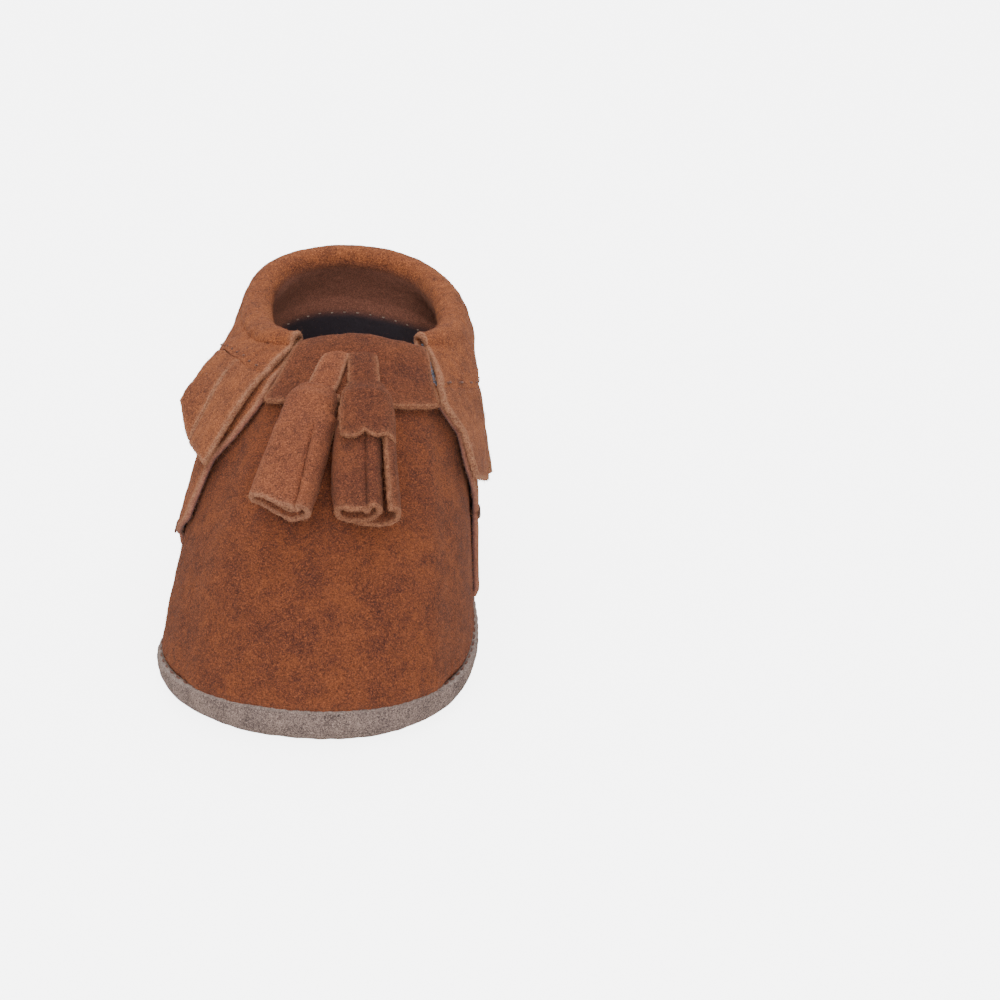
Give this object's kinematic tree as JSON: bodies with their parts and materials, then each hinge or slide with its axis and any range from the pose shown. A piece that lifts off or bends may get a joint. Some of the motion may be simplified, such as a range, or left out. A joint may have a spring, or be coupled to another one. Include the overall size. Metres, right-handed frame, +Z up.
{
  "type": "soft-sole moccasin",
  "caption": "Child's slip-on soft-sole suede moccasin with rolled elastic collar, hanging fringe around it and two rolled tassels on a throat flap.",
  "frame": {"origin": "on the ground plane under the middle of the sole length, at the flat bottom of the outsole", "axes": "+X towards the inner side of the foot, -Y towards the toe, +Y towards the heel, +Z up"},
  "size_m": [0.0668, 0.1195, 0.0635],
  "materials": {
    "suede_upper": "napped suede, tobacco brown, mottled",
    "suede_fringe": "napped suede, raw cut edges",
    "suede_tassel": "napped suede, rolled, raw cut edges",
    "suede_sole": "coarse grey-brown split suede",
    "footbed": "smooth lining leather on a thin pad",
    "elastic": "woven elastic, dusty blue-grey",
    "thread_light": "off-white sewing thread",
    "thread_dark": "dark brown sewing thread"
  },
  "bodies": {
    "shoe": {"outsole": "suede_sole", "insole_pad": "footbed", "vamp": "suede_upper", "heel_quarter": "suede_upper", "elastic_band": "elastic", "casing_stitches": "thread_light", "sole_seam_stitches": "thread_dark", "side_tack_inner": "thread_dark", "side_tack_outer": "thread_dark"},
    "flap": {"throat_flap": "suede_upper"},
    "thong_left_body": {"thong_left": "suede_tassel"},
    "thong_right_body": {"thong_right": "suede_tassel"},
    "tassel_left_body": {"tassel_roll_left": "suede_tassel", "tassel_cap_left": "suede_tassel"},
    "tassel_right_body": {"tassel_roll_right": "suede_tassel", "tassel_cap_right": "suede_tassel"},
    "strip_01": {"fringe_strip_01": "suede_fringe"},
    "strip_02": {"fringe_strip_02": "suede_fringe"},
    "strip_03": {"fringe_strip_03": "suede_fringe"},
    "strip_04": {"fringe_strip_04": "suede_fringe"},
    "strip_05": {"fringe_strip_05": "suede_fringe"},
    "strip_06": {"fringe_strip_06": "suede_fringe"},
    "strip_07": {"fringe_strip_07": "suede_fringe"},
    "strip_08": {"fringe_strip_08": "suede_fringe"},
    "strip_09": {"fringe_strip_09": "suede_fringe"},
    "strip_10": {"fringe_strip_10": "suede_fringe"},
    "strip_11": {"fringe_strip_11": "suede_fringe"},
    "strip_12": {"fringe_strip_12": "suede_fringe"},
    "strip_13": {"fringe_strip_13": "suede_fringe"},
    "strip_14": {"fringe_strip_14": "suede_fringe"},
    "strip_15": {"fringe_strip_15": "suede_fringe"},
    "strip_16": {"fringe_strip_16": "suede_fringe"}
  },
  "joints": [
    {"name": "throat_flap_lift", "type": "hinge", "parent": "shoe", "child": "flap", "pos_m": [0.0045, -0.0006, 0.059], "axis": [-1, 0, 0], "range_deg": [0, 50]},
    {"name": "thong_left_lift", "type": "hinge", "parent": "flap", "child": "thong_left_body", "pos_m": [0.00041, -0.0032, 0.06187], "axis": [-1, 0, 0], "range_deg": [0, 95]},
    {"name": "thong_right_lift", "type": "hinge", "parent": "flap", "child": "thong_right_body", "pos_m": [0.00521, -0.00354, 0.06192], "axis": [-1, 0, 0], "range_deg": [0, 95]},
    {"name": "tassel_left_swing", "type": "hinge", "parent": "thong_left_body", "child": "tassel_left_body", "pos_m": [-0.00333, -0.02272, 0.05889], "axis": [0.2072, 0.5504, -0.8088], "range_deg": [0, 14]},
    {"name": "tassel_right_swing", "type": "hinge", "parent": "thong_right_body", "child": "tassel_right_body", "pos_m": [0.0044, -0.02368, 0.05897], "axis": [0.0385, -0.5872, 0.8085], "range_deg": [0, 14]},
    {"name": "fringe_01_flip", "type": "hinge", "parent": "shoe", "child": "strip_01", "pos_m": [0.02776, -0.00297, 0.05137], "axis": [-0.3231, -0.8129, 0.4845], "range_deg": [0, 70]},
    {"name": "fringe_02_flip", "type": "hinge", "parent": "shoe", "child": "strip_02", "pos_m": [0.0294, 0.00631, 0.04683], "axis": [-0.0353, -0.9472, 0.3188], "range_deg": [0, 70]},
    {"name": "fringe_03_flip", "type": "hinge", "parent": "shoe", "child": "strip_03", "pos_m": [0.02926, 0.01628, 0.04439], "axis": [0.0351, -0.9873, 0.1547], "range_deg": [0, 70]},
    {"name": "fringe_04_flip", "type": "hinge", "parent": "shoe", "child": "strip_04", "pos_m": [0.02875, 0.02654, 0.04347], "axis": [0.0826, -0.9956, 0.0434], "range_deg": [0, 70]},
    {"name": "fringe_05_flip", "type": "hinge", "parent": "shoe", "child": "strip_05", "pos_m": [0.02728, 0.03682, 0.04319], "axis": [0.2221, -0.9748, 0.0217], "range_deg": [0, 70]},
    {"name": "fringe_06_flip", "type": "hinge", "parent": "shoe", "child": "strip_06", "pos_m": [0.02368, 0.04663, 0.0433], "axis": [0.4979, -0.8666, -0.0337], "range_deg": [0, 70]},
    {"name": "fringe_07_flip", "type": "hinge", "parent": "shoe", "child": "strip_07", "pos_m": [0.0167, 0.05446, 0.04382], "axis": [0.8064, -0.5874, -0.0684], "range_deg": [0, 70]},
    {"name": "fringe_08_flip", "type": "hinge", "parent": "shoe", "child": "strip_08", "pos_m": [0.00704, 0.05875, 0.04469], "axis": [0.9799, -0.1878, -0.0676], "range_deg": [0, 70]},
    {"name": "fringe_09_flip", "type": "hinge", "parent": "shoe", "child": "strip_09", "pos_m": [-0.00353, 0.05798, 0.04518], "axis": [0.9403, 0.3393, -0.025], "range_deg": [0, 70]},
    {"name": "fringe_10_flip", "type": "hinge", "parent": "shoe", "child": "strip_10", "pos_m": [-0.01226, 0.05199, 0.04512], "axis": [0.6736, 0.7383, 0.0338], "range_deg": [0, 70]},
    {"name": "fringe_11_flip", "type": "hinge", "parent": "shoe", "child": "strip_11", "pos_m": [-0.01781, 0.04308, 0.04453], "axis": [0.4073, 0.9099, 0.0785], "range_deg": [0, 70]},
    {"name": "fringe_12_flip", "type": "hinge", "parent": "shoe", "child": "strip_12", "pos_m": [-0.02127, 0.03329, 0.04486], "axis": [0.3117, 0.9366, -0.16], "range_deg": [0, 70]},
    {"name": "fringe_13_flip", "type": "hinge", "parent": "shoe", "child": "strip_13", "pos_m": [-0.02407, 0.02361, 0.04734], "axis": [0.2155, 0.9193, -0.3293], "range_deg": [-4, 55]},
    {"name": "fringe_14_flip", "type": "hinge", "parent": "shoe", "child": "strip_14", "pos_m": [-0.02526, 0.01408, 0.05154], "axis": [-0.0498, 0.9005, -0.432], "range_deg": [-4, 55]},
    {"name": "fringe_15_flip", "type": "hinge", "parent": "shoe", "child": "strip_15", "pos_m": [-0.0231, 0.00446, 0.05536], "axis": [-0.3623, 0.9084, -0.2086], "range_deg": [-4, 55]},
    {"name": "fringe_16_flip", "type": "hinge", "parent": "shoe", "child": "strip_16", "pos_m": [-0.01858, -0.00463, 0.05689], "axis": [-0.5097, 0.8544, -0.1017], "range_deg": [-4, 55]}
  ]
}
